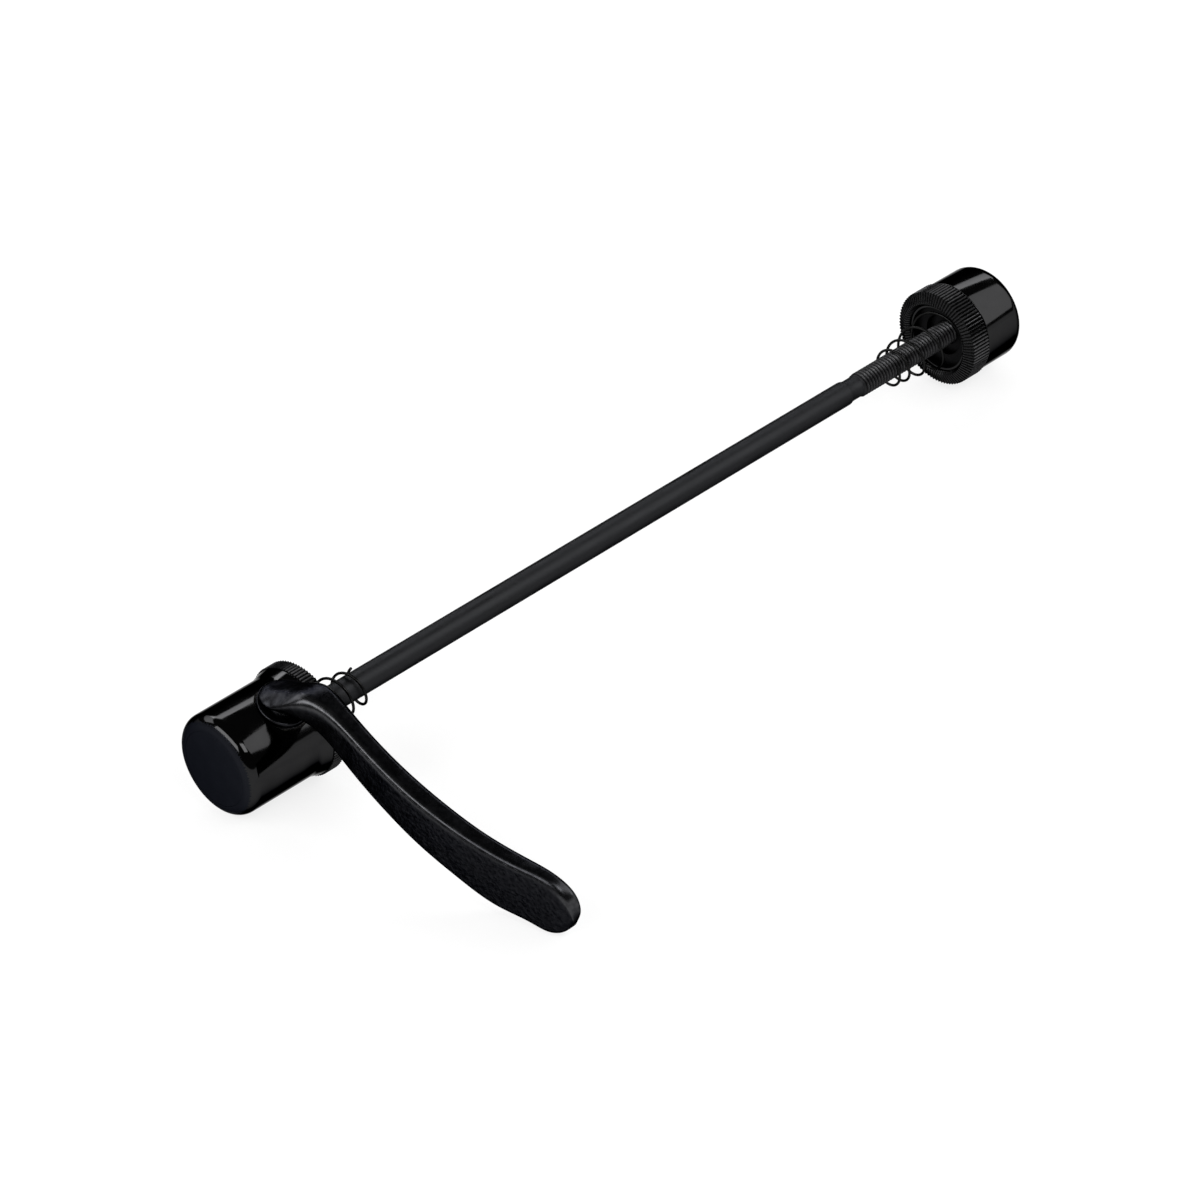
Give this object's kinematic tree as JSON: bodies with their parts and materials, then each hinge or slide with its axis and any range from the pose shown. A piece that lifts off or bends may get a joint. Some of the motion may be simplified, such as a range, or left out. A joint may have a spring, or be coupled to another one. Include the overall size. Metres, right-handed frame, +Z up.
{
  "type": "quick release skewer",
  "caption": "Lever-operated clamping skewer for a bicycle wheel: a cam head with a curved lever, a long rod, conical springs and a round knurled adjusting nut.",
  "frame": {"origin": "on the rod's axis, in the lever side's clamp plane", "axes": "+X along the rod towards the nut, +Z up from the table that the skewer lies on, lever towards -Y"},
  "size_m": [0.2087, 0.0814, 0.0266],
  "materials": {
    "housing_black": "gloss black",
    "cap_black": "satin blue-black",
    "lever_black": "satin black",
    "nut_black": "gloss black",
    "rod_steel": "satin dark grey",
    "ring_steel": "blackened",
    "spring_wire": "black wire",
    "shaft_steel": "ground",
    "washer_steel": "blackened",
    "bush_brass": "dark satin",
    "insert_nylon": "nylon"
  },
  "bodies": {
    "housing": {"cam_housing": "housing_black", "housing_end_cap": "cap_black", "lever_grip_ring": "ring_steel", "lever_bush": "bush_brass", "far_bush": "bush_brass", "lever_spring": "spring_wire"},
    "lever": {"cam_lever": "lever_black", "cam_shaft": "shaft_steel", "thrust_washer": "washer_steel", "shaft_clip": "shaft_steel"},
    "rod": {"skewer_rod": "rod_steel"},
    "spring_at_nut": {"nut_spring": "spring_wire"},
    "nut": {"nut_body": "nut_black", "nut_grip_ring": "ring_steel", "nut_lock_insert": "insert_nylon"}
  },
  "joints": [
    {"name": "lever_swing", "type": "hinge", "parent": "housing", "child": "lever", "pos_m": [-0.009, 0, 0], "axis": [0, 0.373, -0.9278], "range_deg": [0, 180]},
    {"name": "clamp_travel", "type": "slide", "parent": "housing", "child": "rod", "axis": [1, 0, 0], "range_m": [0, 0.00201]},
    {"name": "nut_travel", "type": "slide", "parent": "rod", "child": "spring_at_nut", "axis": [1, 0, 0], "range_m": [-0.02401, 0.00481]},
    {"name": "nut_spin", "type": "hinge", "parent": "spring_at_nut", "child": "nut", "pos_m": [0.1697, 0, 0], "axis": [1, 0, 0], "range_deg": [-10800, 2160]}
  ],
  "couplings": [
    {"joint": "clamp_travel", "follows": "lever_swing", "m_per_rad": 0.00063662},
    {"joint": "nut_travel", "follows": "nut_spin", "m_per_rad": 0.00012732}
  ]
}
